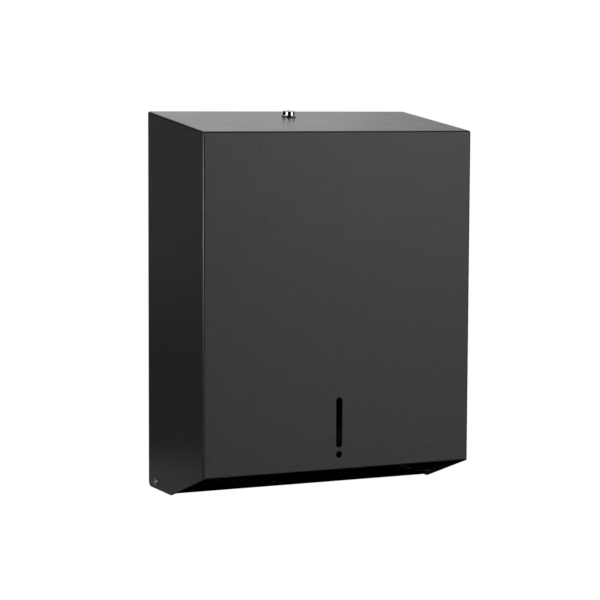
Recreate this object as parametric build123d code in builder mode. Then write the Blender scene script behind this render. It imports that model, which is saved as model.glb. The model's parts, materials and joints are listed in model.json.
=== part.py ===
from build123d import *
import os
from math import atan2, cos, sin, tan

os.makedirs("parts", exist_ok=True)

# Wall dispenser for folded paper towels, in millimetres.
# +Z is up, the front faces -Y and the wall is the plane Y = 0.
# The origin is the middle of the four wall holes, on the wall.

# Cover: front, sides and sloping top, folded from one sheet
COVER_WIDTH = 275.5
COVER_DEPTH = 137.0  # rear edge to front face
COVER_HEIGHT = 361.0  # level lower edge to rear of the top
TOP_FALL = 17.0  # the top drops this much from rear to front
MOUTH_RISE = 27.9  # front panel's lower edge above the level lower edge
LEVEL_EDGE = 57.0  # length of the level lower edge, from the rear
COVER_SHEET = 1.0
BEND_RADIUS = 2.0  # outside of each bend
LEDGE_RADIUS = 1.2  # outside of the tighter bend at the front's lower edge
REAR_CORNER_RADIUS = 5.5
WALL_GAP = 1.0  # wall to the cover's rear edge
LEDGE_DEPTH = 23.0  # front panel's lower flange, under the towels
HEM_WIDTH = 8.0  # edges folded flat on themselves
HEM_GAP = 0.6  # left between the two layers of an open hem
HEM_RELIEF = 1.5  # from a side panel's hem to the ledge

# Sight slot and dot in the front, over the mouth
SLOT_WIDTH = 6.6
SLOT_LENGTH = 47.5
SLOT_RISE = 20.7  # lower edge of the front to the slot
DOT_DIAMETER = 6.4
DOT_RISE = 14.2  # lower edge of the front to the dot's centre

# Back plate: back, cheeks and top flange
BACK_SHEET = 1.2
SIDE_GAP = 1.6  # cheek to side panel
TOP_GAP = 3.0  # flange to top panel
CHASSIS_LIFT = 1.2  # cover's level lower edge to the underside of the tray
CHEEK_DEPTH = 79.0  # from the wall, low down beside the tray
CHEEK_FOOT = 62.0  # height of the deep part of the cheek
CHEEK_SHOULDER = 168.0  # height at which the cheek is down to its upper depth
CHEEK_TOP_DEPTH = 34.0
CHEEK_CORNER = 9.0
FLANGE_DEPTH = 15.0
FLANGE_RELIEF = 12.0  # flange end to cheek
WALL_HOLE_SPACING_X = 190.0
WALL_HOLE_SPACING_Z = 210.0
WALL_HOLE_DIAMETER = 6.0

# Tray under the rear of the towels
TRAY_SHEET = 1.0
TRAY_REAR = 20.0  # upstand on the back plate
TRAY_LIP = 18.0  # front lip, along the slope of the mouth
TRAY_SIDE = 17.0  # upstands on the cheeks
TRAY_SIDE_START = 12.0  # hinge to the rear end of those upstands

# Tray rivets, one through each cheek
RIVET_DIAMETER = 3.2
RIVET_HEAD_DIAMETER = 5.6
RIVET_HEAD = 0.9
RIVET_TAIL_DIAMETER = 4.8
RIVET_TAIL = 1.1
RIVET_FIT = 0.03  # radial, in its hole
TRAY_RIVET_RISE = 10.0  # tray's underside to its rivets
TRAY_RIVET_REACH = 28.0  # hinge to the tray rivet, forwards

# Hinge: a hollow rivet on each side
HINGE_REACH = 19.0  # cover's rear edge to the hinge
HINGE_RISE = 6.5  # cover's level lower edge to the hinge
PIN_DIAMETER = 4.0
PIN_FIT = 0.05  # radial, in the cover and the washers
PIN_HEAD_DIAMETER = 7.8
PIN_HEAD = 1.7
PIN_HEAD_RIM = 0.5
PIN_CROWN_DIAMETER = 5.4  # where the head's steep flank meets its crown
PIN_CROWN = 1.4
PIN_TAIL_DIAMETER = 6.0
PIN_TAIL = 4.2
MANDREL_DIAMETER = 2.3
MANDREL_FIT = 0.02
MANDREL_RECESS = 1.0  # below the top of the rivet head
MANDREL_HEAD_DIAMETER = 3.8
MANDREL_HEAD = 1.8
SPACER_DIAMETER = 10.0
HINGE_PLAY = 0.1  # along the pin, each side of a side panel
WASHER_DIAMETER = 8.0
WASHER_SHEET = 1.0

# Lock: barrel through the top, held by a washer and a nut
LOCK_REACH = 34.5  # cover's rear edge to the lock, along Y
LOCK_OFFSET = 6.0  # middle of the cover to the lock, on the left seen from the front
COLLAR_DIAMETER = 14.6
COLLAR_HEIGHT = 2.0
COLLAR_CHAMFER = 0.5
HEAD_DIAMETER = 12.8
HEAD_HEIGHT = 3.7
HEAD_CHAMFER = 0.6
SHANK_DIAMETER = 11.8
SHANK_FLATS = 10.2
SHANK_LENGTH = 16.0  # below the top panel's outer face
SHANK_FIT = 0.15
NUT_FLATS = 15.0
NUT_HEIGHT = 3.5
NUT_CHAMFER = 0.5
NUT_FIT = 0.05
LOCK_WASHER_DIAMETER = 16.5
LOCK_WASHER_SHEET = 0.8

# Lock core: plug, wafers, cam and their screw
PLUG_DIAMETER = 8.0
PLUG_HEAD_DIAMETER = 9.4
PLUG_HEAD = 1.6
PLUG_FIT = 0.05  # radial, in the barrel
PLUG_SINK = 0.4  # plug's face below the top of the head
KEY_SLOT_WIDTH = 1.4
KEY_SLOT_LENGTH = 5.2
KEY_SLOT_DEPTH = 13.0
WAFER_COUNT = 4
WAFER_PITCH = 2.2
WAFER_START = 4.6  # plug's face to the first wafer
WAFER_SHEET = 0.8
WAFER_WIDTH = 4.4
WAFER_HEIGHT = 6.2
WAFER_FIT = 0.1
WAFER_WINDOW_WIDTH = 2.2
WAFER_WINDOW_HEIGHT = 4.2
WARD_DEPTH = 0.9  # grooves in the barrel for raised wafers
TANG = 5.0  # square end of the plug
TANG_FIT = 0.05
CAM_GAP = 0.2  # barrel's end to the cam
CAM_SHEET = 2.0
CAM_HUB = 14.0
CAM_WIDTH = 10.0
CAM_LENGTH = 20.0
CAM_CORNER = 3.0
SCREW_DIAMETER = 4.0
SCREW_LENGTH = 6.0
SCREW_HEAD_DIAMETER = 7.6
SCREW_HEAD = 2.4
SCREW_HEAD_CHAMFER = 0.8
SCREW_FIT = 0.02
RECESS_WIDTH = 1.0  # cross recess in the screw head
RECESS_LENGTH = 4.2
RECESS_DEPTH = 1.4
SPRING_WASHER_DIAMETER = 7.4
SPRING_WASHER_SHEET = 0.9
SPRING_WASHER_SPLIT = 0.8

# Strike: folded bracket in front of the turned cam
STRIKE_SHEET = 1.5
STRIKE_WIDTH = 14.0
STRIKE_INSET = 10.2  # lock's axis to the near edge of the strike
STRIKE_OVERLAP = 10.0  # under the flange
STRIKE_PLAY = 1.0  # turned cam to the strike's tab
STRIKE_DROP = 4.0  # tab's end below the cam

# Lines of the side view
rear_y = -WALL_GAP
front_y = rear_y - COVER_DEPTH
tip_y = rear_y - LEVEL_EDGE
top_z = COVER_HEIGHT / 2
bottom_z = -top_z
mouth_z = bottom_z + MOUTH_RISE
brow_z = top_z - TOP_FALL
top_slope = atan2(TOP_FALL, COVER_DEPTH)
mouth_slope = atan2(MOUTH_RISE, COVER_DEPTH - LEVEL_EDGE)
side_x = COVER_WIDTH / 2
inner_x = side_x - COVER_SHEET
hinge_y = rear_y - HINGE_REACH
hinge_z = bottom_z + HINGE_RISE
bend_inside = BEND_RADIUS - COVER_SHEET

# Lines of the back plate
cheek_x = inner_x - SIDE_GAP
tray_x = cheek_x - BACK_SHEET
chassis_z = bottom_z + CHASSIS_LIFT
fold_y = tip_y + CHASSIS_LIFT * tan(mouth_slope / 2)
flange_z = top_z + WALL_GAP * tan(top_slope) - (COVER_SHEET + TOP_GAP) / cos(top_slope)
flange_x = tray_x - FLANGE_RELIEF
tray_rivet_y = hinge_y - TRAY_RIVET_REACH
tray_rivet_z = chassis_z + TRAY_RIVET_RISE

# The lock stands square to the sloping top, a little left of the middle.
lock_x = -LOCK_OFFSET
lock_y = rear_y - LOCK_REACH
lock_z = top_z - LOCK_REACH * tan(top_slope)
lock_up = (0, -sin(top_slope), cos(top_slope))
lock_back = (0, cos(top_slope), sin(top_slope))
lock_plane = Plane(origin=(lock_x, lock_y, lock_z), x_dir=(1, 0, 0), z_dir=lock_up)
lock_side = Plane(origin=(lock_x, lock_y, lock_z), x_dir=lock_back, z_dir=(1, 0, 0))
face_h = COLLAR_HEIGHT + HEAD_HEIGHT - PLUG_SINK
step_h = face_h - PLUG_HEAD
cam_h = -SHANK_LENGTH - CAM_GAP
cam_under_h = cam_h - CAM_SHEET
screw_h = cam_under_h - SPRING_WASHER_SHEET
flange_h = -COVER_SHEET - TOP_GAP
strike_h = flange_h - BACK_SHEET
flange_u = (-FLANGE_DEPTH - lock_y) / cos(top_slope)
strike_rear_u = flange_u + STRIKE_OVERLAP
strike_front_u = -CAM_WIDTH / 2 - STRIKE_PLAY - STRIKE_SHEET


# Front cover: a shell open at the wall and along the mouth
with BuildPart() as front_cover:
    with BuildSketch(Plane.YZ):
        with BuildLine():
            Polyline(
                (rear_y, bottom_z),
                (tip_y, bottom_z),
                (front_y, mouth_z),
                (front_y, brow_z),
                (rear_y, top_z),
                close=True,
            )
        make_face()
    extrude(amount=side_x, both=True)
    front = front_cover.faces().sort_by(Axis.Y)[0]
    fillet(front.edges().sort_by(Axis.Z)[1:], radius=BEND_RADIUS)
    mouth = front_cover.faces().sort_by(Axis.Z)[:2]
    rear = front_cover.faces().sort_by(Axis.Y)[-1]
    offset(amount=-COVER_SHEET, openings=[*mouth, rear])
    # The front panel's lower end turns back into a ledge with its edge folded under.
    ledge_top = mouth_z + 2 * BEND_RADIUS
    with BuildSketch(Plane.YZ):
        with Locations((front_y, ledge_top)):
            Rectangle(2 * COVER_SHEET, 3 * BEND_RADIUS, align=(Align.CENTER, Align.MAX))
    extrude(amount=side_x - BEND_RADIUS, both=True, mode=Mode.SUBTRACT)
    with BuildSketch(Plane.YZ):
        with BuildLine():
            ledge = FilletPolyline(
                (front_y, ledge_top),
                (front_y, mouth_z),
                (front_y + LEDGE_DEPTH, mouth_z),
                radius=LEDGE_RADIUS,
            )
            nose = JernArc(ledge @ 1, ledge % 1, HEM_GAP / 2, -180)
            Line(nose @ 1, nose @ 1 + (nose % 1) * HEM_WIDTH)
            offset(amount=COVER_SHEET, side=Side.LEFT)
        make_face()
    extrude(amount=side_x - BEND_RADIUS, both=True)
    # Each side panel's edge along the mouth is folded flat inside.
    hem_front_y = front_y + LEDGE_DEPTH + COVER_SHEET + HEM_RELIEF
    hem_start_z = bottom_z + (tip_y - hem_front_y) * tan(mouth_slope)
    hem_rise = HEM_WIDTH / cos(mouth_slope)
    for side in (-1, 1):
        with BuildSketch(Plane.YZ.offset(side * inner_x)):
            with BuildLine():
                Polyline(
                    (tip_y, bottom_z),
                    (hem_front_y, hem_start_z),
                    (hem_front_y, hem_start_z + hem_rise),
                    (tip_y, bottom_z + hem_rise),
                    close=True,
                )
            make_face()
        extrude(amount=-side * COVER_SHEET)
    with BuildSketch(Plane.XZ.offset(-front_y)):
        with Locations((0, mouth_z + SLOT_RISE + SLOT_LENGTH / 2)):
            SlotOverall(SLOT_LENGTH, SLOT_WIDTH, rotation=90)
        with Locations((0, mouth_z + DOT_RISE)):
            Circle(DOT_DIAMETER / 2)
    extrude(amount=-COVER_SHEET, mode=Mode.SUBTRACT)
    with BuildSketch(Plane.YZ):
        with Locations((hinge_y, hinge_z)):
            Circle(PIN_DIAMETER / 2 + PIN_FIT)
    extrude(amount=side_x, both=True, mode=Mode.SUBTRACT)
    with BuildSketch(lock_plane):
        Circle(SHANK_DIAMETER / 2 + SHANK_FIT)
        Rectangle(2 * SHANK_DIAMETER, SHANK_FLATS + 2 * SHANK_FIT, mode=Mode.INTERSECT)
    extrude(amount=-COVER_SHEET, mode=Mode.SUBTRACT)
    lower_edges = front_cover.edges().filter_by(Axis.X).group_by(Axis.Z)[0]
    fillet(lower_edges.sort_by(Axis.Y)[-2:], radius=REAR_CORNER_RADIUS)
front_cover.part.label = "front_cover"
export_step(front_cover.part, "parts/front_cover.step")

# Back plate: a channel, its cheeks cut to outline, with a flange folded over the top
with BuildPart() as back_plate:
    with BuildSketch(Plane.XY.offset(chassis_z)):
        with BuildLine():
            FilletPolyline(
                (-cheek_x, -CHEEK_DEPTH),
                (-cheek_x, 0),
                (cheek_x, 0),
                (cheek_x, -CHEEK_DEPTH),
                radius=BEND_RADIUS,
            )
            offset(amount=BACK_SHEET, side=Side.RIGHT)
        make_face()
    extrude(amount=flange_z - chassis_z)
    with BuildSketch(Plane.YZ):
        with BuildLine():
            edge = FilletPolyline(
                (fold_y, chassis_z),
                (-CHEEK_DEPTH, chassis_z + (CHEEK_DEPTH + fold_y) * tan(mouth_slope)),
                (-CHEEK_DEPTH, chassis_z + CHEEK_FOOT),
                (-CHEEK_TOP_DEPTH, chassis_z + CHEEK_SHOULDER),
                (-CHEEK_TOP_DEPTH, flange_z - CHEEK_TOP_DEPTH * tan(top_slope)),
                (0, flange_z),
                radius=[CHEEK_CORNER / 2, CHEEK_CORNER, CHEEK_CORNER, CHEEK_CORNER],
            )
            Polyline(edge @ 1, (0, chassis_z), edge @ 0)
        make_face()
    extrude(amount=cheek_x, both=True, mode=Mode.INTERSECT)
    flange_root = flange_z - 2 * BEND_RADIUS
    with BuildSketch(Plane.XZ):
        with Locations((0, flange_root)):
            Rectangle(2 * tray_x, 3 * BEND_RADIUS, align=(Align.CENTER, Align.MIN))
    extrude(amount=BACK_SHEET, mode=Mode.SUBTRACT)
    with BuildSketch(Plane.YZ):
        with BuildLine():
            FilletPolyline(
                (0, flange_root),
                (0, flange_z),
                (-FLANGE_DEPTH, flange_z - FLANGE_DEPTH * tan(top_slope)),
                radius=BEND_RADIUS,
            )
            offset(amount=BACK_SHEET, side=Side.LEFT)
        make_face()
    extrude(amount=flange_x, both=True)
    with BuildSketch(Plane.XZ):
        with GridLocations(WALL_HOLE_SPACING_X, WALL_HOLE_SPACING_Z, 2, 2):
            Circle(WALL_HOLE_DIAMETER / 2)
    extrude(amount=BACK_SHEET, mode=Mode.SUBTRACT)
    with BuildSketch(Plane.YZ):
        with Locations((hinge_y, hinge_z)):
            Circle(PIN_DIAMETER / 2 + PIN_FIT)
        with Locations((tray_rivet_y, tray_rivet_z)):
            Circle(RIVET_DIAMETER / 2 + RIVET_FIT)
    extrude(amount=cheek_x, both=True, mode=Mode.SUBTRACT)
back_plate.part.label = "back_plate"
export_step(back_plate.part, "parts/back_plate.step")

# Towel tray: floor with a rear upstand, a hemmed front lip and upstands on the cheeks
with BuildPart() as towel_tray:
    with BuildSketch(Plane.YZ):
        with BuildLine():
            run = FilletPolyline(
                (-BACK_SHEET, chassis_z + TRAY_REAR),
                (-BACK_SHEET, chassis_z),
                (fold_y, chassis_z),
                (fold_y - TRAY_LIP * cos(mouth_slope), chassis_z + TRAY_LIP * sin(mouth_slope)),
                radius=BEND_RADIUS,
            )
            nose = JernArc(run @ 1, run % 1, TRAY_SHEET + HEM_GAP / 2, -180)
            Line(nose @ 1, nose @ 1 + (nose % 1) * HEM_WIDTH)
            offset(amount=TRAY_SHEET, side=Side.RIGHT)
        make_face()
    extrude(amount=tray_x - BEND_RADIUS, both=True)
    side_rear_y = hinge_y - TRAY_SIDE_START
    with BuildSketch(Plane.XZ.offset(-side_rear_y)):
        with BuildLine():
            FilletPolyline(
                (-tray_x, chassis_z + TRAY_SIDE),
                (-tray_x, chassis_z),
                (tray_x, chassis_z),
                (tray_x, chassis_z + TRAY_SIDE),
                radius=BEND_RADIUS,
            )
            offset(amount=TRAY_SHEET, side=Side.LEFT)
        make_face()
    extrude(amount=side_rear_y - fold_y - BEND_RADIUS)
    with BuildSketch(Plane.YZ):
        with Locations((tray_rivet_y, tray_rivet_z)):
            Circle(RIVET_DIAMETER / 2 + RIVET_FIT)
    extrude(amount=tray_x, both=True, mode=Mode.SUBTRACT)
towel_tray.part.label = "towel_tray"
export_step(towel_tray.part, "parts/towel_tray.step")

# Tray rivets: flat heads in the gap beside the cover, tails set inside
with BuildPart() as tray_rivets:
    grip = BACK_SHEET + TRAY_SHEET
    for side in (-1, 1):
        head_at = (side * cheek_x, tray_rivet_y, tray_rivet_z)
        seat = Plane(origin=head_at, x_dir=(0, 1, 0), z_dir=(side, 0, 0))
        with BuildSketch(seat):
            Circle(RIVET_HEAD_DIAMETER / 2)
        extrude(amount=RIVET_HEAD)
        with BuildSketch(seat):
            Circle(RIVET_DIAMETER / 2)
        extrude(amount=-grip)
        with BuildSketch(seat.offset(-grip)):
            Circle(RIVET_TAIL_DIAMETER / 2)
        extrude(amount=-RIVET_TAIL)
tray_rivets.part.label = "tray_rivets"
export_step(tray_rivets.part, "parts/tray_rivets.step")

# Strike: a strip spot-welded under the flange, its tab folded down in front of the turned cam
with BuildPart() as strike:
    with BuildSketch(lock_side.offset(-STRIKE_INSET)):
        with BuildLine():
            FilletPolyline(
                (strike_rear_u, strike_h),
                (strike_front_u, strike_h),
                (strike_front_u, cam_under_h - STRIKE_DROP),
                radius=STRIKE_SHEET + bend_inside,
            )
            offset(amount=STRIKE_SHEET, side=Side.LEFT)
        make_face()
    extrude(amount=-STRIKE_WIDTH)
strike.part.label = "strike"
export_step(strike.part, "parts/strike.step")

# Hinges: on each side a hollow rivet through side panel, nylon spacer, cheek and washer,
# with the broken-off pin that set it still inside
pin_r = PIN_DIAMETER / 2
bore_r = MANDREL_DIAMETER / 2
tail_r = PIN_TAIL_DIAMETER / 2
head_r = PIN_HEAD_DIAMETER / 2
washer_h = -COVER_SHEET - SIDE_GAP - BACK_SHEET
tail_h = washer_h - WASHER_SHEET
pin_end_h = tail_h - PIN_TAIL
for name, side in (("left", -1), ("right", 1)):
    origin = (side * side_x, hinge_y, hinge_z)
    profile = Plane(origin=origin, x_dir=(0, 1, 0), z_dir=(0, 0, -side))
    seat = Plane(origin=origin, x_dir=(0, 1, 0), z_dir=(side, 0, 0))
    axis = Axis(origin, (side, 0, 0))
    with BuildPart() as hinge_rivet:
        with BuildSketch(profile):
            with BuildLine():
                Polyline(
                    (bore_r, PIN_HEAD),
                    (bore_r, pin_end_h),
                    (tail_r, pin_end_h),
                    (tail_r, tail_h),
                    (pin_r, tail_h),
                    (pin_r, HINGE_PLAY),
                    (head_r, HINGE_PLAY),
                    (head_r, PIN_HEAD_RIM),
                    (PIN_CROWN_DIAMETER / 2, PIN_CROWN),
                    close=True,
                )
            make_face()
        revolve(axis=axis)
    hinge_rivet.part.label = "hinge_rivet_" + name
    export_step(hinge_rivet.part, "parts/hinge_rivet_" + name + ".step")

    with BuildPart() as hinge_mandrel:
        with BuildSketch(seat.offset(PIN_HEAD - MANDREL_RECESS)):
            Circle(bore_r - MANDREL_FIT)
        extrude(amount=pin_end_h - PIN_HEAD + MANDREL_RECESS)
        with BuildSketch(seat.offset(pin_end_h)):
            Circle(MANDREL_HEAD_DIAMETER / 2)
        extrude(amount=-MANDREL_HEAD)
    hinge_mandrel.part.label = "hinge_mandrel_" + name
    export_step(hinge_mandrel.part, "parts/hinge_mandrel_" + name + ".step")

    with BuildPart() as hinge_spacer:
        with BuildSketch(seat.offset(-COVER_SHEET - HINGE_PLAY)):
            Circle(SPACER_DIAMETER / 2)
            Circle(pin_r + PIN_FIT, mode=Mode.SUBTRACT)
        extrude(amount=HINGE_PLAY - SIDE_GAP)
    hinge_spacer.part.label = "hinge_spacer_" + name
    export_step(hinge_spacer.part, "parts/hinge_spacer_" + name + ".step")

    with BuildPart() as hinge_washer:
        with BuildSketch(seat.offset(washer_h)):
            Circle(WASHER_DIAMETER / 2)
            Circle(pin_r + PIN_FIT, mode=Mode.SUBTRACT)
        extrude(amount=-WASHER_SHEET)
    hinge_washer.part.label = "hinge_washer_" + name
    export_step(hinge_washer.part, "parts/hinge_washer_" + name + ".step")

# Lock barrel: collared head, shank with two flats, stepped bore and two wafer grooves
with BuildPart() as lock_barrel:
    with BuildSketch(lock_plane):
        Circle(COLLAR_DIAMETER / 2)
    extrude(amount=COLLAR_HEIGHT)
    chamfer(lock_barrel.edges().sort_by(Axis.Z)[-1], length=COLLAR_CHAMFER)
    with BuildSketch(lock_plane.offset(COLLAR_HEIGHT)):
        Circle(HEAD_DIAMETER / 2)
    extrude(amount=HEAD_HEIGHT)
    chamfer(lock_barrel.edges().sort_by(Axis.Z)[-1], length=HEAD_CHAMFER)
    with BuildSketch(lock_plane):
        Circle(SHANK_DIAMETER / 2)
        Rectangle(2 * SHANK_DIAMETER, SHANK_FLATS, mode=Mode.INTERSECT)
    extrude(amount=-SHANK_LENGTH)
    with BuildSketch(lock_plane.offset(step_h)):
        Circle(PLUG_HEAD_DIAMETER / 2 + PLUG_FIT)
    extrude(amount=PLUG_HEAD + PLUG_SINK, mode=Mode.SUBTRACT)
    with BuildSketch(lock_plane.offset(step_h)):
        Circle(PLUG_DIAMETER / 2 + PLUG_FIT)
    extrude(amount=-step_h - SHANK_LENGTH, mode=Mode.SUBTRACT)
    with BuildSketch(lock_plane.offset(-SHANK_LENGTH)):
        Rectangle(WAFER_WIDTH + 2 * WAFER_FIT, PLUG_DIAMETER + 2 * WARD_DEPTH)
    extrude(amount=SHANK_LENGTH, mode=Mode.SUBTRACT)
lock_barrel.part.label = "lock_barrel"
export_step(lock_barrel.part, "parts/lock_barrel.step")

# Washer and nut that clamp the barrel under the top panel
with BuildPart() as lock_washer:
    with BuildSketch(lock_plane.offset(-COVER_SHEET)):
        Circle(LOCK_WASHER_DIAMETER / 2)
        Circle(SHANK_DIAMETER / 2 + SHANK_FIT, mode=Mode.SUBTRACT)
    extrude(amount=-LOCK_WASHER_SHEET)
lock_washer.part.label = "lock_washer"
export_step(lock_washer.part, "parts/lock_washer.step")

with BuildPart() as lock_nut:
    with BuildSketch(lock_plane.offset(-COVER_SHEET - LOCK_WASHER_SHEET)):
        RegularPolygon(NUT_FLATS / 2, 6, major_radius=False)
        Circle(SHANK_DIAMETER / 2 + NUT_FIT, mode=Mode.SUBTRACT)
    extrude(amount=-NUT_HEIGHT)
    nut_end = lock_nut.faces().sort_by(Axis.Z)[0]
    chamfer(nut_end.outer_wire().edges(), length=NUT_CHAMFER)
lock_nut.part.label = "lock_nut"
export_step(lock_nut.part, "parts/lock_nut.step")

# Lock plug: headed core with a key slot, wafer slots, a square end and a screw hole
with BuildPart() as lock_plug:
    with BuildSketch(lock_plane.offset(face_h)):
        Circle(PLUG_HEAD_DIAMETER / 2)
    extrude(amount=-PLUG_HEAD)
    with BuildSketch(lock_plane.offset(step_h)):
        Circle(PLUG_DIAMETER / 2)
    extrude(amount=cam_h - step_h)
    with BuildSketch(lock_plane.offset(cam_h)):
        Rectangle(TANG, TANG)
    extrude(amount=TANG_FIT - CAM_SHEET)
    with BuildSketch(lock_plane.offset(face_h)):
        Rectangle(KEY_SLOT_WIDTH, KEY_SLOT_LENGTH)
    extrude(amount=-KEY_SLOT_DEPTH, mode=Mode.SUBTRACT)
    for step in range(WAFER_COUNT):
        with BuildSketch(lock_plane.offset(face_h - WAFER_START - step * WAFER_PITCH + WAFER_FIT)):
            Rectangle(WAFER_WIDTH + 2 * WAFER_FIT, 2 * PLUG_DIAMETER)
        extrude(amount=-WAFER_SHEET - 2 * WAFER_FIT, mode=Mode.SUBTRACT)
    with BuildSketch(lock_plane.offset(cam_under_h)):
        Circle(SCREW_DIAMETER / 2 + SCREW_FIT)
    extrude(amount=SCREW_LENGTH + SCREW_FIT, mode=Mode.SUBTRACT)
lock_plug.part.label = "lock_plug"
export_step(lock_plug.part, "parts/lock_plug.step")

# Wafers, drawn in flush as a key holds them
with BuildPart() as lock_wafers:
    for step in range(WAFER_COUNT):
        with BuildSketch(lock_plane.offset(face_h - WAFER_START - step * WAFER_PITCH)):
            Rectangle(WAFER_WIDTH, WAFER_HEIGHT)
            Rectangle(WAFER_WINDOW_WIDTH, WAFER_WINDOW_HEIGHT, mode=Mode.SUBTRACT)
        extrude(amount=-WAFER_SHEET)
lock_wafers.part.label = "lock_wafers"
export_step(lock_wafers.part, "parts/lock_wafers.step")

# Cam: points at the wall when unlocked, and turned a quarter it lies behind the strike's tab
with BuildPart() as lock_cam:
    with BuildSketch(lock_plane.offset(cam_h)):
        RectangleRounded(CAM_WIDTH, 2 * CAM_LENGTH, CAM_CORNER)
        with Locations((0, -CAM_LENGTH)):
            Rectangle(2 * CAM_WIDTH, 2 * CAM_LENGTH, mode=Mode.SUBTRACT)
        Circle(CAM_HUB / 2)
        Rectangle(TANG + 2 * TANG_FIT, TANG + 2 * TANG_FIT, mode=Mode.SUBTRACT)
    extrude(amount=-CAM_SHEET)
lock_cam.part.label = "lock_cam"
export_step(lock_cam.part, "parts/lock_cam.step")

# Split spring washer and cross-recessed screw under the cam
with BuildPart() as cam_washer:
    with BuildSketch(lock_plane.offset(cam_under_h)):
        Circle(SPRING_WASHER_DIAMETER / 2)
        Circle(SCREW_DIAMETER / 2 + SCREW_FIT, mode=Mode.SUBTRACT)
        with Locations((SPRING_WASHER_DIAMETER / 2, 0)):
            Rectangle(SPRING_WASHER_DIAMETER, SPRING_WASHER_SPLIT, mode=Mode.SUBTRACT)
    extrude(amount=-SPRING_WASHER_SHEET)
cam_washer.part.label = "cam_washer"
export_step(cam_washer.part, "parts/cam_washer.step")

with BuildPart() as cam_screw:
    with BuildSketch(lock_plane.offset(screw_h)):
        Circle(SCREW_HEAD_DIAMETER / 2)
    extrude(amount=-SCREW_HEAD)
    chamfer(cam_screw.edges().sort_by(Axis.Z)[0], length=SCREW_HEAD_CHAMFER)
    with BuildSketch(lock_plane.offset(screw_h - SCREW_HEAD)):
        Rectangle(RECESS_WIDTH, RECESS_LENGTH)
        Rectangle(RECESS_LENGTH, RECESS_WIDTH)
    extrude(amount=RECESS_DEPTH, mode=Mode.SUBTRACT)
    with BuildSketch(lock_plane.offset(screw_h)):
        Circle(SCREW_DIAMETER / 2)
    extrude(amount=SPRING_WASHER_SHEET + SCREW_LENGTH)
cam_screw.part.label = "cam_screw"
export_step(cam_screw.part, "parts/cam_screw.step")
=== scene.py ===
"""Wall dispenser for folded paper towels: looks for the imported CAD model, in metres."""

import json
from math import cos, pi, radians, sin

import bmesh
import bpy
import numpy as np
from mathutils import Matrix, Vector


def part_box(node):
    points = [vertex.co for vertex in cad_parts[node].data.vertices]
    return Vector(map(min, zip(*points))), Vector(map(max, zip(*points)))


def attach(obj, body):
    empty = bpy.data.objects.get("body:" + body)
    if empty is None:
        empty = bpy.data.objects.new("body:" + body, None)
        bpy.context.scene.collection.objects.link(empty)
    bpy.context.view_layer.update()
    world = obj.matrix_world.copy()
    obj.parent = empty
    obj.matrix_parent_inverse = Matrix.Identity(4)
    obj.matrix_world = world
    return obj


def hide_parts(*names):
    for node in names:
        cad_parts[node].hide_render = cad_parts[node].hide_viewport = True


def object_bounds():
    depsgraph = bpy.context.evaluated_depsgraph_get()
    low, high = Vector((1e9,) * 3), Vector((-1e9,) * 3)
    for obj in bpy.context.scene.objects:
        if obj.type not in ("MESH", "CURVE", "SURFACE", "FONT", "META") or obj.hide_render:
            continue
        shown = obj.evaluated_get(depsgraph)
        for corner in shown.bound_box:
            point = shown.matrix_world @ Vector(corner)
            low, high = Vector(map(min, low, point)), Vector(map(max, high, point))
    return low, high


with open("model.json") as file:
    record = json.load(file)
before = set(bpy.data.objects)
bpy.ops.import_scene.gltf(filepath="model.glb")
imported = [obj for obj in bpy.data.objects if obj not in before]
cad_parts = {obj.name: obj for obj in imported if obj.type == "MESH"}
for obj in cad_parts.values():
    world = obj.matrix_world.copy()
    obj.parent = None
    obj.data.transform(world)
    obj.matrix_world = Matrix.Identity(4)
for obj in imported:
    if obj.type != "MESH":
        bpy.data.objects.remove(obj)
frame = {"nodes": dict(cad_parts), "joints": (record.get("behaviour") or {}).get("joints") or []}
cad_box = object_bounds()

# Back plate: 1.2 mm mild steel, laser cut and folded into a channel with a top flange.
# It is degreased and powder coated all over in satin black, then screwed to the wall.
MM = 0.001
# The dark and light ends of the coat's colour speckle, which is painted shade of its grain.
COAT_GRAIN_PAINTED_SHADE = "#121214"
COAT_GRAIN_PAINTED_LIGHT = "#242426"
COAT_GLOSS_TINT = "#f8f8ff"
COAT_MOTTLE_MM = 34.0
COAT_GRAIN_MM = 1.3  # the real grain is about 0.4 mm, drawn coarser so that it shows
COAT_GRAIN_HEIGHT_MM = 0.08
COAT_GRAIN_STRENGTH = 0.5
COAT_PAINTED_GRAIN_SHADE_SPAN = 0.12
COAT_ROUGHNESS = (0.27, 0.33)
MIX_FROM, MIX_TO, MIX_COLOUR = 6, 7, 2  # a Mix node's two inputs and its output for colours


def linear(code):
    """sRGB hex to linear RGBA: c / 12.92 below 0.04045, else ((c + 0.055) / 1.055) ^ 2.4."""
    c = np.array([int(code[i:i + 2], 16) for i in (1, 3, 5)]) / 255
    c = np.where(c <= 0.04045, c / 12.92, ((c + 0.055) / 1.055) ** 2.4)
    return (*map(float, c), 1.0)


def add(tree, kind, links=(), sockets=(), **settings):
    """Adds a node, sets its properties and sockets, and links each (input, node, output)."""
    node = tree.nodes.new(kind)
    for name, value in settings.items():
        setattr(node, name, value)
    for name, value in dict(sockets).items():
        node.inputs[name].default_value = value
    for name, source, output in links:
        tree.links.new(source.outputs[output], node.inputs[name])
    return node


def start(name):
    """An empty node material and its tree."""
    made = bpy.data.materials.new(name)
    made.use_nodes = True
    made.node_tree.nodes.clear()
    return made, made.node_tree


def dress(name, finish):
    """Gives a CAD node its finish."""
    mesh = frame["nodes"][name].data
    mesh.materials.clear()
    mesh.materials.append(finish)
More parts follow.
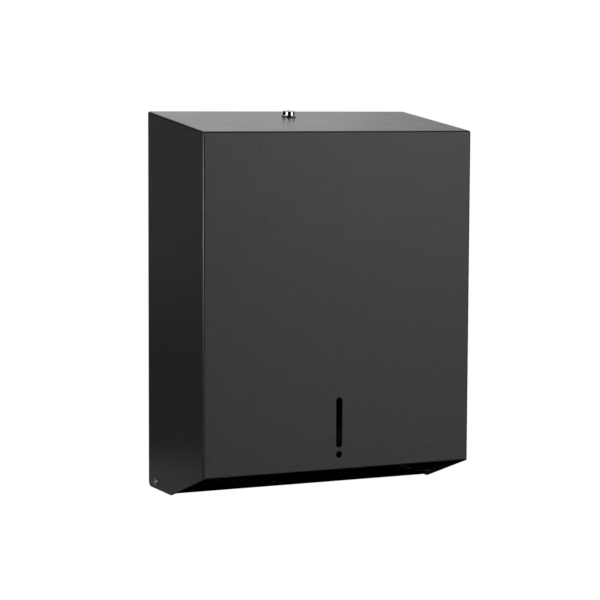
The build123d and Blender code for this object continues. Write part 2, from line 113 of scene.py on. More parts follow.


# Satin black powder coat on steel: a fine even grain in relief, soft broad reflections, and the grain's
# light and dark speckle painted into its colour as shade.
powder_coat, tree = start("powder_coated_steel_satin_black")
place = add(tree, "ShaderNodeTexCoord")
mottle = add(tree, "ShaderNodeTexNoise", [("Vector", place, "Object")],
             {"Scale": 1 / (COAT_MOTTLE_MM * MM), "Detail": 3.0})
grain = add(tree, "ShaderNodeTexNoise", [("Vector", place, "Object")],
            {"Scale": 1 / (COAT_GRAIN_MM * MM), "Detail": 2.0})
# The grain's light and dark speckle in the colour is painted shade of the coat's fine relief, while the
# bump below gives the real relief.
painted_grain_shade = add(tree, "ShaderNodeMapRange", [("Value", grain, "Fac")],
              {"From Min": 0.5 - COAT_PAINTED_GRAIN_SHADE_SPAN, "From Max": 0.5 + COAT_PAINTED_GRAIN_SHADE_SPAN})
tone = add(tree, "ShaderNodeMix", [(0, painted_grain_shade, "Result")],
           {MIX_FROM: linear(COAT_GRAIN_PAINTED_SHADE), MIX_TO: linear(COAT_GRAIN_PAINTED_LIGHT)}, data_type="RGBA")
sheen = add(tree, "ShaderNodeMapRange", [("Value", mottle, "Fac")],
            {"To Min": COAT_ROUGHNESS[0], "To Max": COAT_ROUGHNESS[1]})
relief = add(tree, "ShaderNodeBump", [("Height", grain, "Fac")],
             {"Strength": COAT_GRAIN_STRENGTH, "Distance": COAT_GRAIN_HEIGHT_MM * MM})
coat = add(tree, "ShaderNodeBsdfPrincipled",
           [("Base Color", tone, MIX_COLOUR), ("Roughness", sheen, "Result"), ("Normal", relief, "Normal")],
           {"Specular Tint": linear(COAT_GLOSS_TINT)})
add(tree, "ShaderNodeOutputMaterial", [("Surface", coat, "BSDF")])
dress("back_plate", powder_coat)

# Towel tray: folded 1 mm steel floor under the towels, riveted to the cheeks.
# It is coated with the back plate, in one batch.
dress("towel_tray", powder_coat)

# Tray rivets: two solid steel rivets with bright zinc plate, one through each cheek.
# The crowned head lies in the gap beside the cover, and the tail is pressed flat inside.
TRAY_RIVET_CROWN_MM = 0.15
TRAY_RIVET_CROWN_LINE = ((0, 0), (0.5, 0.25), (0.8, 1))  # shares of the head's radius and of the crown
TRAY_RIVET_EDGE_MM = 0.25
TRAY_RIVET_SHANK_R_MM = 1.6
TRAY_RIVET_GRIP_MM = 2.2
TRAY_RIVET_TAIL_R_MM = 2.4
TRAY_RIVET_TAIL_MM = 1.1
TRAY_RIVET_TAIL_FLAT = 0.6
ROUND_STEPS = 64
ARC_STEPS = 8
CREASE_DEG = 40
MERGE_M = 1e-7  # points nearer than this become one
ZINC_PALE = "#b4b8bd"
ZINC_BLUE = "#a3a9b2"
ZINC_CLOUD_MM = 3.0
ZINC_ROUGHNESS = (0.24, 0.38)

# Bright zinc plate on steel: a cool grey metal, a little cloudy from its bath.
zinc_plate, tree = start("bright_zinc_plated_steel")
place = add(tree, "ShaderNodeTexCoord")
cloud = add(tree, "ShaderNodeTexNoise", [("Vector", place, "Object")],
            {"Scale": 1 / (ZINC_CLOUD_MM * MM), "Detail": 4.0})
tone = add(tree, "ShaderNodeMix", [(0, cloud, "Fac")],
           {MIX_FROM: linear(ZINC_PALE), MIX_TO: linear(ZINC_BLUE)}, data_type="RGBA")
haze = add(tree, "ShaderNodeMapRange", [("Value", cloud, "Fac")],
           {"To Min": ZINC_ROUGHNESS[0], "To Max": ZINC_ROUGHNESS[1]})
plate = add(tree, "ShaderNodeBsdfPrincipled",
            [("Base Color", tone, MIX_COLOUR), ("Roughness", haze, "Result")], {"Metallic": 1.0})
add(tree, "ShaderNodeOutputMaterial", [("Surface", plate, "BSDF")])


def arc(r, h, radius, first, last, steps=ARC_STEPS):
    """Profile points r + radius cos(a), h + radius sin(a) for a from first to last, in degrees."""
    a = np.radians(np.linspace(first, last, steps))
    return np.stack([r + radius * np.cos(a), h + radius * np.sin(a)], -1)


def spin(profile, origin, axis):
    """Grid of a profile (r, h) in mm turned round an axis: origin + h axis + r (cos t e1 + sin t e2)."""
    up = Vector(axis).normalized()
    e1 = up.orthogonal().normalized()
    e2 = np.array(up.cross(e1))
    t = np.linspace(0, 2 * pi, ROUND_STEPS + 1)[:-1, None, None]
    r, h = profile[None, :, :1] * MM, profile[None, :, 1:] * MM
    return np.array(origin) + h * np.array(up) + r * (np.cos(t) * np.array(e1) + np.sin(t) * e2)


def skin(name, grids, finish, crease=CREASE_DEG, ring=True):
    """One mesh from grids closed in u and, for a ring, in v: quads join each point to the next ones."""
    points, quads, first = [], [], 0
    for grid in grids:
        at = np.arange(grid.shape[0] * grid.shape[1]).reshape(grid.shape[:2]) + first
        u, v, w = np.roll(at, -1, 0), np.roll(at, -1, 1), np.roll(at, (-1, -1), (0, 1))
        quad = np.stack([at, u, w, v], -1)
        points.append(grid.reshape(-1, 3))
        quads.append((quad if ring else quad[:, :-1]).reshape(-1, 4))
        first += at.size
    mesh = bpy.data.meshes.new(name)
    mesh.from_pydata(np.concatenate(points).tolist(), [], np.concatenate(quads).tolist())
    work = bmesh.new()
    work.from_mesh(mesh)
    bmesh.ops.remove_doubles(work, verts=work.verts, dist=MERGE_M)
    bmesh.ops.recalc_face_normals(work, faces=work.faces)
    work.to_mesh(mesh)
    work.free()
    mesh.polygons.foreach_set("use_smooth", np.ones(len(mesh.polygons), bool))
    mesh.set_sharp_from_angle(angle=radians(crease))
    mesh.materials.append(finish)
    piece = bpy.data.objects.new(name, mesh)
    bpy.context.scene.collection.objects.link(piece)
    return piece


low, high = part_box("tray_rivets")
middle = (low + high) / 2
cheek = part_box("back_plate")[1].x
head_r = (high.z - low.z) / 2 / MM
head_h = (high.x - cheek) / MM
tail_h = -TRAY_RIVET_GRIP_MM - TRAY_RIVET_TAIL_MM
edge = TRAY_RIVET_EDGE_MM
tray_rivet_line = np.concatenate([
    np.array(TRAY_RIVET_CROWN_LINE) * (head_r, -TRAY_RIVET_CROWN_MM) + (0, head_h),
    arc(head_r - edge, head_h - TRAY_RIVET_CROWN_MM - edge, edge, 80, 0),
    [(head_r, 0), (TRAY_RIVET_SHANK_R_MM, 0)],
    [(TRAY_RIVET_SHANK_R_MM, -TRAY_RIVET_GRIP_MM), (TRAY_RIVET_TAIL_R_MM, -TRAY_RIVET_GRIP_MM)],
    arc(TRAY_RIVET_TAIL_R_MM - edge, tail_h + edge, edge, 0, -80),
    [(TRAY_RIVET_TAIL_R_MM * TRAY_RIVET_TAIL_FLAT, tail_h), (0, tail_h)],
])
tray_rivet_skin = skin("tray_rivets_round", [
    spin(tray_rivet_line, (side * cheek, middle.y, middle.z), (side, 0, 0)) for side in (-1, 1)
], zinc_plate, ring=False)
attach(tray_rivet_skin, "chassis")
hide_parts("tray_rivets")

# Strike: a folded strip of 1.5 mm steel, zinc plated, spot-welded under the top flange.
# The lock's cam turns behind its tab.
dress("strike", zinc_plate)

# Hinges: a hollow aluminium rivet on each side, pulled up over a nylon spacer and a steel washer.
# Its head is a flat crown on a thin flange, and the steel pin that pulled it broke off below the lip.
RIVET_BORE_R_MM = 1.15
RIVET_LIP_MM = 0.35
RIVET_CROWN_R_MM = 2.7
RIVET_FLANGE_MM = 0.7
RIVET_EDGE_MM = 0.3
RIVET_FALL_MM = 0.06
RIVET_FILLET_STEPS = 5
RIVET_PLAY_MM = 0.1
RIVET_SHANK_R_MM = 2.0
RIVET_TAIL_R_MM = 3.0
RIVET_TAIL_START_MM = -4.8
RIVET_TAIL_SIDE_MM = 1.6
RIVET_TAIL_SHOULDER_MM = 0.9
RIVET_TAIL_ROUND_MM = 1.3
RIVET_METAL_PALE = "#b9babb"
RIVET_METAL_DARK = "#8d8e90"
RIVET_MOTTLE_MM = 0.5
RIVET_ROUGHNESS = (0.28, 0.42)
NYLON_PALE = "#dedad0"
NYLON_WARM = "#d2ccbd"
NYLON_CLOUD_MM = 4.0
NYLON_ROUGHNESS = (0.42, 0.52)
NYLON_IOR = 1.53

# Bare drawn aluminium, headed cold: pale grey, finely mottled, a soft shine.
rivet_metal, tree = start("bare_aluminium_cold_headed")
place = add(tree, "ShaderNodeTexCoord")
mottle = add(tree, "ShaderNodeTexNoise", [("Vector", place, "Object")],
             {"Scale": 1 / (RIVET_MOTTLE_MM * MM), "Detail": 3.0})
tone = add(tree, "ShaderNodeMix", [(0, mottle, "Fac")],
           {MIX_FROM: linear(RIVET_METAL_DARK), MIX_TO: linear(RIVET_METAL_PALE)}, data_type="RGBA")
worn = add(tree, "ShaderNodeMapRange", [("Value", mottle, "Fac")],
           {"To Min": RIVET_ROUGHNESS[0], "To Max": RIVET_ROUGHNESS[1]})
metal = add(tree, "ShaderNodeBsdfPrincipled",
            [("Base Color", tone, MIX_COLOUR), ("Roughness", worn, "Result")], {"Metallic": 1.0})
add(tree, "ShaderNodeOutputMaterial", [("Surface", metal, "BSDF")])

# Natural nylon, moulded: milky and waxy, with a low soft shine.
nylon, tree = start("natural_nylon_moulded")
place = add(tree, "ShaderNodeTexCoord")
cloud = add(tree, "ShaderNodeTexNoise", [("Vector", place, "Object")], {"Scale": 1 / (NYLON_CLOUD_MM * MM)})
tone = add(tree, "ShaderNodeMix", [(0, cloud, "Fac")],
           {MIX_FROM: linear(NYLON_PALE), MIX_TO: linear(NYLON_WARM)}, data_type="RGBA")
waxy = add(tree, "ShaderNodeMapRange", [("Value", cloud, "Fac")],
           {"To Min": NYLON_ROUGHNESS[0], "To Max": NYLON_ROUGHNESS[1]})
resin = add(tree, "ShaderNodeBsdfPrincipled",
            [("Base Color", tone, MIX_COLOUR), ("Roughness", waxy, "Result")], {"IOR": NYLON_IOR})
add(tree, "ShaderNodeOutputMaterial", [("Surface", resin, "BSDF")])

edge, lip, fillet = RIVET_EDGE_MM, RIVET_LIP_MM, RIVET_EDGE_MM / 2
shoulder, tail_round = RIVET_TAIL_SHOULDER_MM, RIVET_TAIL_ROUND_MM
for side, hand in ((-1, "left"), (1, "right")):
    low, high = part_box("hinge_rivet_" + hand)
    middle = (low + high) / 2
    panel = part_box("front_cover")[(side + 1) // 2].x
    outer, inner = (low.x, high.x) if side < 0 else (high.x, low.x)
    head_r = (high.z - low.z) / 2 / MM
    crown = abs(outer - panel) / MM
    tail_end = -abs(inner - panel) / MM
    rivet_line = np.concatenate([
        [(RIVET_BORE_R_MM, tail_end), (RIVET_BORE_R_MM, crown - 2 * lip)],
        arc(RIVET_BORE_R_MM + lip, crown - lip, lip, 180, 90),
        arc(RIVET_CROWN_R_MM - edge, crown - RIVET_FALL_MM - edge, edge, 85, 0),
        arc(RIVET_CROWN_R_MM + fillet, RIVET_FLANGE_MM + fillet, fillet, 180, 265, RIVET_FILLET_STEPS),
        arc(head_r - edge, RIVET_FLANGE_MM - RIVET_FALL_MM - edge, edge, 85, -90),
        [(RIVET_SHANK_R_MM, RIVET_PLAY_MM), (RIVET_SHANK_R_MM, RIVET_TAIL_START_MM)],
        arc(RIVET_TAIL_R_MM - shoulder, RIVET_TAIL_START_MM - shoulder, shoulder, 90, 0),
        [(RIVET_TAIL_R_MM, RIVET_TAIL_START_MM - RIVET_TAIL_SIDE_MM)],
        arc(RIVET_TAIL_R_MM - tail_round, tail_end + tail_round, tail_round, 0, -80),
    ])
    rivet_grid = spin(rivet_line, (panel, middle.y, middle.z), (side, 0, 0))
    rivet = skin("hinge_rivet_domed_" + hand, [rivet_grid], rivet_metal)
    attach(rivet, "chassis")
    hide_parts("hinge_rivet_" + hand)
    dress("hinge_mandrel_" + hand, zinc_plate)
    dress("hinge_spacer_" + hand, nylon)
    dress("hinge_washer_" + hand, zinc_plate)

# Front cover: front, sides and sloping top folded from one 1 mm sheet, its corners welded and ground round.
# Its mouth edges are hemmed, and it is coated in the same satin black.
SHEET_MM = 1.0
FOLD_MM = 2.0
FOLD_CUTS = 4
CORE_PASSES = 4
NEAR_M = 1e-6  # the sheet's points are true to within this


def read(items, name, width=1, kind=float):
    """One property of all the points, faces or corners of a mesh, as an array with a row for each."""
    values = np.empty(len(items) * width, kind)
    items.foreach_get(name, values)
    return values.reshape(-1, width) if width > 1 else values


lock_joint = next(j for j in frame["joints"] if j["name"] == "lock_turn")
lock_seat, lock_up = np.array(lock_joint["pos_m"]), np.array(lock_joint["axis"])
cover_low, cover_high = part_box("front_cover")
fold = FOLD_MM * MM

# A merged copy of the sheet is cut along its folds, at depths fold (1 - tan a) for a up to 45 degrees.
work = bmesh.new()
work.from_mesh(frame["nodes"]["front_cover"].data)
bmesh.ops.remove_doubles(work, verts=work.verts, dist=NEAR_M)
for depth in fold * (1 - np.tan(np.radians(np.linspace(0, 45, FOLD_CUTS + 1)[:-1]))):
    for point, normal in (
        (lock_seat - depth * lock_up, lock_up),
        ((cover_low.x + depth, 0, 0), (1, 0, 0)),
        ((cover_high.x - depth, 0, 0), (1, 0, 0)),
        ((0, cover_low.y + depth, 0), (0, 1, 0)),
    ):
        bmesh.ops.bisect_plane(work, geom=[*work.verts, *work.edges, *work.faces], dist=MERGE_M,
                               plane_co=point, plane_no=normal)
mesh = bpy.data.meshes.new("front_cover_rounded")
work.to_mesh(mesh)
work.free()

# The core is the cover drawn in by fold at its front, top and sides, with top and front taken in turn until
# both hold. A point further than fold from its nearest place in the core comes in to that distance.
points = read(mesh.vertices, "co", 3)
core = points.copy()
core[:, 0] = np.clip(core[:, 0], cover_low.x + fold, cover_high.x - fold)
for _ in range(CORE_PASSES):
    core -= np.maximum((core - lock_seat) @ lock_up + fold, 0)[:, None] * lock_up
    core[:, 1] = np.maximum(core[:, 1], cover_low.y + fold)
out = points - core
away = np.linalg.norm(out, axis=1, keepdims=True)
points = core + out * fold / np.maximum(away, fold)
mesh.vertices.foreach_set("co", points.ravel())
mesh.polygons.foreach_set("use_smooth", np.ones(len(mesh.polygons), bool))
mesh.set_sharp_from_angle(angle=radians(CREASE_DEG))
mesh.materials.append(powder_coat)

# On the outer and inner skin, which lie fold and fold - sheet from the core, a face's corner is shaded
# along its line from the core where face and line are within the crease angle, so flat panels shade flat.
corner = read(mesh.loops, "vertex_index", kind=np.int32)
sides = read(mesh.polygons, "loop_total", kind=np.int32)
facing = np.repeat(read(mesh.polygons, "normal", 3), sides, 0)
away = np.minimum(away, fold)
line = ((points - core) / np.maximum(away, NEAR_M))[corner]
along = (facing * line).sum(1, keepdims=True)
on_skin = (np.abs(away - fold) < NEAR_M) | (np.abs(away - fold + SHEET_MM * MM) < NEAR_M)
on_line = on_skin[corner] & (np.abs(along) > cos(radians(CREASE_DEG)))
shading = np.where(on_line, np.sign(along) * line, read(mesh.corner_normals, "vector", 3))
mesh.normals_split_custom_set(shading.tolist())
cover = bpy.data.objects.new("front_cover_rounded", mesh)
bpy.context.scene.collection.objects.link(cover)
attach(cover, "cover")
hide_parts("front_cover")

# Lock barrel: die-cast zinc, bright chrome plated, with a coned collar drawn in at its foot.
# Its threaded shank drops through a double-D hole in the top, and a washer and a nut hold it from below.
HEAD_TOP_MM = 5.35
HEAD_TOP_R_MM = 5.95
HEAD_FOOT_R_MM = 6.35
HEAD_ROUND_MM = 1.0
HEAD_FILLET_MM = 0.3
COLLAR_TOP_MM = 1.25
COLLAR_R_MM = 7.3
COLLAR_ROUND_MM = 0.3
COLLAR_RISE_MM = 0.7
COLLAR_FOOT_R_MM = 6.85
COLLAR_FOOT_ROUND_MM = 0.15
MOUTH_R_MM = 4.75
MOUTH_FLOOR_MM = 3.7
MOUTH_EDGE_MM = 0.2
BORE_R_MM = 4.05
SHANK_R_MM = 5.9
SHANK_HALF_FLATS_MM = 5.1
SHANK_END_MM = -16.0
SHANK_TIP_MM = 0.4
SHANK_TIP_IN_MM = 0.5
SHANK_RINGS = 128
THREAD_START_MM = -0.2
THREAD_PITCH_MM = 1.0
THREAD_DEPTH_MM = 0.4
BARREL_STEPS = 96
BARREL_ARC_STEPS = 4
BARREL_CREASE_DEG = 30
CHROME = "#d5d8db"
CHROME_SMEAR = "#c4c8cc"
CHROME_SMEAR_MM = 5.0
CHROME_ROUGHNESS = (0.05, 0.10)

# Bright chrome on zinc die-casting: a clear mirror with faint finger smears.
chrome_plate, tree = start("bright_chrome_plated_zinc")
place = add(tree, "ShaderNodeTexCoord")
smear = add(tree, "ShaderNodeTexNoise", [("Vector", place, "Object")],
            {"Scale": 1 / (CHROME_SMEAR_MM * MM), "Detail": 2.0})
tone = add(tree, "ShaderNodeMix", [(0, smear, "Fac")],
           {MIX_FROM: linear(CHROME), MIX_TO: linear(CHROME_SMEAR)}, data_type="RGBA")
film = add(tree, "ShaderNodeMapRange", [("Value", smear, "Fac")],
           {"To Min": CHROME_ROUGHNESS[0], "To Max": CHROME_ROUGHNESS[1]})
mirror = add(tree, "ShaderNodeBsdfPrincipled",
             [("Base Color", tone, MIX_COLOUR), ("Roughness", film, "Result")], {"Metallic": 1.0})
add(tree, "ShaderNodeOutputMaterial", [("Surface", mirror, "BSDF")])

lock_across = np.array((1.0, 0.0, 0.0))
lock_back = np.cross(lock_up, lock_across)
shank_h = np.linspace(THREAD_START_MM, SHANK_END_MM + SHANK_TIP_MM, SHANK_RINGS)
edge, fillet, foot = MOUTH_EDGE_MM, HEAD_FILLET_MM, COLLAR_FOOT_ROUND_MM
barrel_line = np.concatenate([
    [(BORE_R_MM, SHANK_END_MM), (BORE_R_MM, MOUTH_FLOOR_MM), (MOUTH_R_MM, MOUTH_FLOOR_MM)],
    arc(MOUTH_R_MM + edge, HEAD_TOP_MM - edge, edge, 180, 90, BARREL_ARC_STEPS),
    arc(HEAD_TOP_R_MM - HEAD_ROUND_MM, HEAD_TOP_MM - HEAD_ROUND_MM, HEAD_ROUND_MM, 90, 5),
    [(HEAD_FOOT_R_MM, COLLAR_TOP_MM + fillet)],
    arc(HEAD_FOOT_R_MM + fillet, COLLAR_TOP_MM + fillet, fillet, 180, 225, BARREL_ARC_STEPS),
    arc(COLLAR_R_MM - COLLAR_ROUND_MM, COLLAR_RISE_MM, COLLAR_ROUND_MM, 45, -15),
    arc(COLLAR_FOOT_R_MM - foot, foot, foot, -15, -90, BARREL_ARC_STEPS),
    [(SHANK_R_MM, 0)],
    np.stack([np.full_like(shank_h, SHANK_R_MM), shank_h], -1),
    [(SHANK_R_MM - SHANK_TIP_IN_MM, SHANK_END_MM)],
])
turn = np.linspace(0, 2 * pi, BARREL_STEPS + 1)[:-1, None]
r, h = barrel_line[None, :, 0], barrel_line[None, :, 1]
# On the shank the radius drops by a triangle wave of h / pitch + turn, and the two flats cut it off.
wave = np.abs(((h / THREAD_PITCH_MM + turn / (2 * pi)) % 1) - 0.5) * 2
on_shank = (h < THREAD_START_MM / 2) & (r > SHANK_HALF_FLATS_MM)
flats = SHANK_HALF_FLATS_MM / np.maximum(np.abs(np.sin(turn)), SHANK_HALF_FLATS_MM / SHANK_R_MM)
r = np.where(on_shank, np.minimum(r - THREAD_DEPTH_MM * wave, flats), r)
around = np.cos(turn)[..., None] * lock_across + np.sin(turn)[..., None] * lock_back
barrel_grid = lock_seat + MM * (h[..., None] * lock_up + r[..., None] * around)
barrel = skin("lock_barrel_threaded", [barrel_grid], chrome_plate, crease=BARREL_CREASE_DEG)
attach(barrel, "cover")
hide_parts("lock_barrel")

# Washer and hexagon nut: punched steel strip and a pressed and tapped steel nut, both zinc plated.
# Tightened under the top, they hold the barrel's collar down on it.
dress("lock_washer", zinc_plate)
dress("lock_nut", zinc_plate)

# Lock core: the chromed plug that the key turns, with four stamped brass wafers inside.
# A zinc plated cam sits on its square end under a split washer and a cross-head screw.
BRASS_PALE = "#b8964e"
BRASS_DARK = "#a07f3c"
BRASS_CLOUD_MM = 1.5
BRASS_ROUGHNESS = (0.25, 0.40)

# Stamped brass: warm yellow metal, dulled a little by handling oil.
brass, tree = start("stamped_brass")
place = add(tree, "ShaderNodeTexCoord")
cloud = add(tree, "ShaderNodeTexNoise", [("Vector", place, "Object")], {"Scale": 1 / (BRASS_CLOUD_MM * MM)})
tone = add(tree, "ShaderNodeMix", [(0, cloud, "Fac")],
           {MIX_FROM: linear(BRASS_PALE), MIX_TO: linear(BRASS_DARK)}, data_type="RGBA")
dull = add(tree, "ShaderNodeMapRange", [("Value", cloud, "Fac")],
           {"To Min": BRASS_ROUGHNESS[0], "To Max": BRASS_ROUGHNESS[1]})
metal = add(tree, "ShaderNodeBsdfPrincipled",
            [("Base Color", tone, MIX_COLOUR), ("Roughness", dull, "Result")], {"Metallic": 1.0})
add(tree, "ShaderNodeOutputMaterial", [("Surface", metal, "BSDF")])
dress("lock_plug", chrome_plate)
dress("lock_wafers", brass)
dress("lock_cam", zinc_plate)
dress("cam_washer", zinc_plate)
dress("cam_screw", zinc_plate)

# Floor: pale matt studio paper, cut to a disc and laid well below the dispenser, which hangs free above it.
# It fades out towards its rim, so that it shows no edge.
FLOOR_DROP_M = 0.42
FLOOR_RADIUS_M = 1.25
FLOOR_STEPS = 96
FLOOR_COLOUR = "#e6e5e3"
FLOOR_CLOUD_MM = 25.0
FLOOR_ROUGHNESS = (0.75, 0.9)
FLOOR_FADE = (0.45, 0.98)
turn = np.linspace(0, 2 * pi, FLOOR_STEPS + 1)[:-1]
level = np.full_like(turn, cad_box[0][2] - FLOOR_DROP_M)
disc = np.stack([FLOOR_RADIUS_M * np.cos(turn), FLOOR_RADIUS_M * np.sin(turn), level], -1)
mesh = bpy.data.meshes.new("studio_floor")
mesh.from_pydata(disc.tolist(), [], [list(range(FLOOR_STEPS))])
floor = bpy.data.objects.new("studio_floor", mesh)
bpy.context.scene.collection.objects.link(floor)

# Matt paper: an even pale grey without shine, mixed with a clear surface by the distance from its middle.
sweep, tree = start("pale_studio_floor")
place = add(tree, "ShaderNodeTexCoord")
cloud = add(tree, "ShaderNodeTexNoise", [("Vector", place, "Object")], {"Scale": 1 / (FLOOR_CLOUD_MM * MM)})
flat = add(tree, "ShaderNodeVectorMath", [(0, place, "Object")], {1: (1.0, 1.0, 0.0)}, operation="MULTIPLY")
reach = add(tree, "ShaderNodeVectorMath", [(0, flat, "Vector")], operation="LENGTH")
fade = add(tree, "ShaderNodeMapRange", [("Value", reach, "Value")],
           {"From Min": FLOOR_FADE[0] * FLOOR_RADIUS_M, "From Max": FLOOR_FADE[1] * FLOOR_RADIUS_M},
           interpolation_type="SMOOTHSTEP")
matt = add(tree, "ShaderNodeMapRange", [("Value", cloud, "Fac")],
           {"To Min": FLOOR_ROUGHNESS[0], "To Max": FLOOR_ROUGHNESS[1]})
paper = add(tree, "ShaderNodeBsdfPrincipled", [("Roughness", matt, "Result")],
            {"Base Color": linear(FLOOR_COLOUR)})
clear = add(tree, "ShaderNodeBsdfTransparent")
blend = add(tree, "ShaderNodeMixShader", [(0, fade, "Result"), (1, paper, "BSDF"), (2, clear, "BSDF")])
add(tree, "ShaderNodeOutputMaterial", [("Surface", blend, "Shader")])
mesh.materials.append(sweep)

# World: a plain white studio, white to the camera and in mirror-like reflections.
# As fill light on matt surfaces it is a dimmer grey.
WORLD_WHITE = "#ffffff"
WORLD_FILL = 0.60
world = bpy.data.worlds.new("white_studio")
bpy.context.scene.world = world
world.use_nodes = True
tree = world.node_tree
tree.nodes.clear()
ray = add(tree, "ShaderNodeLightPath")
seen = add(tree, "ShaderNodeMath",
           [(0, ray, "Is Camera Ray"), (1, ray, "Is Glossy Ray")], operation="MAXIMUM")
seen = add(tree, "ShaderNodeMath", [(0, seen, 0), (1, ray, "Is Transmission Ray")], operation="MAXIMUM")
fill = add(tree, "ShaderNodeBackground", sockets={"Color": linear(WORLD_WHITE), "Strength": WORLD_FILL})
white = add(tree, "ShaderNodeBackground", sockets={"Color": linear(WORLD_WHITE), "Strength": 1.0})
either = add(tree, "ShaderNodeMixShader", [(0, seen, 0), (1, fill, 0), (2, white, 0)])
add(tree, "ShaderNodeOutputWorld", [("Surface", either, "Shader")])
bpy.context.scene.view_settings.view_transform = "Standard"

# Soft boxes: two on the right light the front and its foot, and one on the left fills in the side.
# A strip close by on the left is seen only in gloss, and draws the bright line down the front's left fold.
for name, stand, aim, width, height, radiance, lights_matt in (
    ("key_right", (1.27, -2.04, 0.75), (0, -0.1, 0.75), 1.5, 1.56, 2.09, True),
    ("key_right_foot", (1.08, -2.10, -0.38), (0, -0.1, -0.38), 1.3, 0.70, 0.95, True),
    ("fill_left", (-2.14, -1.08, 0.64), (0, -0.1, 0.64), 1.4, 1.42, 2.6, True),
    ("strip_left", (-0.686, -0.205, 0.057), (-0.138, -0.137, 0.057), 0.46, 0.13, 8.0, False),
):
    lamp = bpy.data.lights.new(name, "AREA")
    lamp.shape = "RECTANGLE"
    lamp.size, lamp.size_y = width, height
    lamp.energy = radiance * pi * width * height  # the power in watts that gives this radiance
    soft_box = bpy.data.objects.new(name, lamp)
    towards = (Vector(aim) - Vector(stand)).to_track_quat("-Z", "Y")
    soft_box.matrix_world = Matrix.Translation(stand) @ towards.to_matrix().to_4x4()
    soft_box.visible_camera = False
    soft_box.visible_diffuse = lights_matt
    bpy.context.scene.collection.objects.link(soft_box)

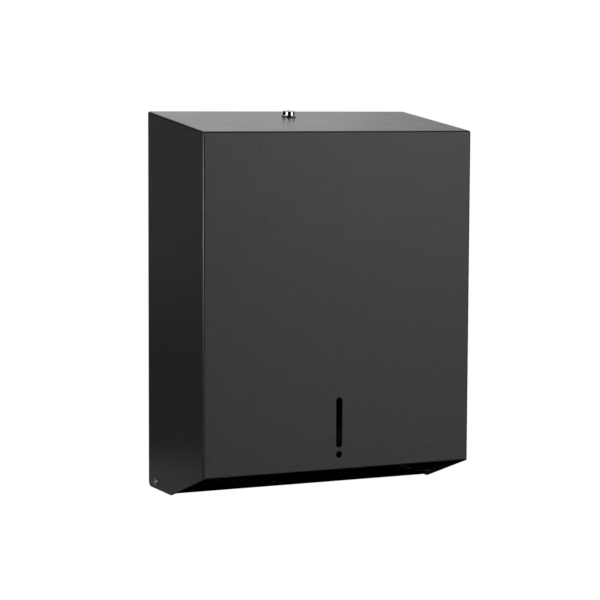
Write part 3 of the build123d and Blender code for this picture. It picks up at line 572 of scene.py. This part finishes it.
# Cards: flat pieces of matt cloth pinned up round the set, seen only in reflections.
# Black flags keep the coat dark, and grey and pale cards lift the left side, its foot and the lock.
CARD_NAP_MM = 50 / 3  # much coarser than real nap, because the cards show only as reflections
CARD_ROUGHNESS = (0.9, 1.0)
for name, shade, centre, across, rise in (
    ("flag_front", "#0a0a0a", (0, -3.2, 0.6), (7.0, 0, 0), (0, 0, 4.0)),
    ("flag_left", "#0a0a0a", (-3.4, -0.8, 0.6), (0, 5.2, 0), (0, 0, 4.0)),
    ("flag_right", "#0a0a0a", (3.4, -1.2, 0.6), (0, 4.4, 0), (0, 0, 4.0)),
    ("flag_over", "#3a3a3a", (0, -1.2, 2.4), (6.0, 0, 0), (0, 3.6, 0)),
    ("flag_under", "#0a0a0a", (0, 0.0, -0.45), (1.4, 0, 0), (0, 1.4, 0)),
    ("card_under_left", "#303030", (-1.55, 0.8, -0.46), (1.7, 0, 0), (0, 2.6, 0)),
    ("card_behind_left_low", "#3e3e3e", (-1.9, 1.5, -0.59), (3.4, 0, 0), (0, 0, 0.90)),
    ("card_behind_left_high", "#707070", (-1.9, 1.5, 0.105), (3.4, 0, 0), (0, 0, 0.49)),
    ("card_low_left", "#999999", (-0.205, 0.075, -0.20), (0.13, 0, 0), (0, 0.35, 0)),
    ("flag_behind_left", "#0a0a0a", (-2.6, 1.9, 1.55), (3.8, 0, 0), (0, 0, 2.4)),
    ("card_behind_mid", "#383838", (-0.4, 1.9, 1.55), (0.6, 0, 0), (0, 0, 2.4)),
    ("card_behind_right", "#f0f0f0", (1.97, 3.2, 1.80), (0.40, 0, 0), (0, 0, 1.4)),
    ("flag_behind_right", "#0a0a0a", (3.35, 3.2, 1.0), (2.4, 0, 0), (0, 0, 3.0)),
    ("card_front_low", "#e0e0e0", (-1.0, -2.6, -0.95), (2.8, 0, 0), (0, 0, 0.9)),
    ("card_left_low", "#b0b0b0", (-2.9, -1.2, -0.90), (0, 2.8, 0), (0, 0, 0.9)),
    ("card_right_low", "#b0b0b0", (2.9, -0.6, -0.90), (0, 3.6, 0), (0, 0, 0.9)),
    ("card_behind_right_low", "#808080", (1.9, 2.8, -0.90), (3.2, 0, 0), (0, 0, 0.9)),
):
    cloth, tree = start("matt_" + name)
    place = add(tree, "ShaderNodeTexCoord")
    nap = add(tree, "ShaderNodeTexNoise", [("Vector", place, "Object")], {"Scale": 1 / (CARD_NAP_MM * MM)})
    dull = add(tree, "ShaderNodeMapRange", [("Value", nap, "Fac")],
               {"To Min": CARD_ROUGHNESS[0], "To Max": CARD_ROUGHNESS[1]})
    weave = add(tree, "ShaderNodeBsdfPrincipled", [("Roughness", dull, "Result")],
                {"Base Color": linear(shade), "Specular IOR Level": 0.0})
    add(tree, "ShaderNodeOutputMaterial", [("Surface", weave, "BSDF")])
    c, a, u = (np.array(v, float) for v in (centre, across, rise))
    corners = np.stack([c - a / 2 - u / 2, c + a / 2 - u / 2, c + a / 2 + u / 2, c - a / 2 + u / 2])
    mesh = bpy.data.meshes.new(name)
    mesh.from_pydata(corners.tolist(), [], [(0, 1, 2, 3)])
    mesh.materials.append(cloth)
    card = bpy.data.objects.new(name, mesh)
    card.visible_camera = card.visible_diffuse = card.visible_shadow = card.visible_transmission = False
    bpy.context.scene.collection.objects.link(card)

# Gobo: black cloth hung across most of the mouth, unseen by the camera.
# It keeps stray light out, so that the inside stays dark.
GOBO_LEFT_M = -0.135
GOBO_RIGHT_M = 0.128
GOBO_FRONT_M = (-0.1365, -0.1531)  # y and z of its front and rear edges
GOBO_REAR_M = (-0.0585, -0.1805)
mesh = bpy.data.meshes.new("gobo_mouth")
mesh.from_pydata([
    (GOBO_LEFT_M, *GOBO_FRONT_M), (GOBO_RIGHT_M, *GOBO_FRONT_M),
    (GOBO_RIGHT_M, *GOBO_REAR_M), (GOBO_LEFT_M, *GOBO_REAR_M),
], [], [(0, 1, 2, 3)])
mesh.materials.append(bpy.data.materials["matt_flag_under"])
gobo = bpy.data.objects.new("gobo_mouth", mesh)
gobo.visible_camera = gobo.visible_transmission = False
bpy.context.scene.collection.objects.link(gobo)

# Camera: a long lens about 2.1 m away, at the front left and a little above the middle of the dispenser.
# It looks slightly down, and leans by a quarter of a degree.
CAMERA_PLACE = (-0.8818, -1.9351, 0.1941)
CAMERA_YAW = radians(25.07)
CAMERA_PITCH = radians(5.35)
CAMERA_ROLL = radians(0.25)
SENSOR_MM = 36.0
LENS_MM = 129.67
ahead = Vector((
    sin(CAMERA_YAW) * cos(CAMERA_PITCH),
    cos(CAMERA_YAW) * cos(CAMERA_PITCH),
    -sin(CAMERA_PITCH),
))
across = Vector((cos(CAMERA_YAW), -sin(CAMERA_YAW), 0))
upright = across.cross(ahead)
right = cos(CAMERA_ROLL) * across + sin(CAMERA_ROLL) * upright
upward = cos(CAMERA_ROLL) * upright - sin(CAMERA_ROLL) * across
turned = Matrix((right, upward, -ahead)).transposed().to_4x4()
lens = bpy.data.cameras.new("studio_camera")
lens.sensor_width, lens.lens = SENSOR_MM, LENS_MM
camera = bpy.data.objects.new("studio_camera", lens)
camera.matrix_world = Matrix.Translation(CAMERA_PLACE) @ turned
bpy.context.scene.collection.objects.link(camera)
bpy.context.scene.camera = camera
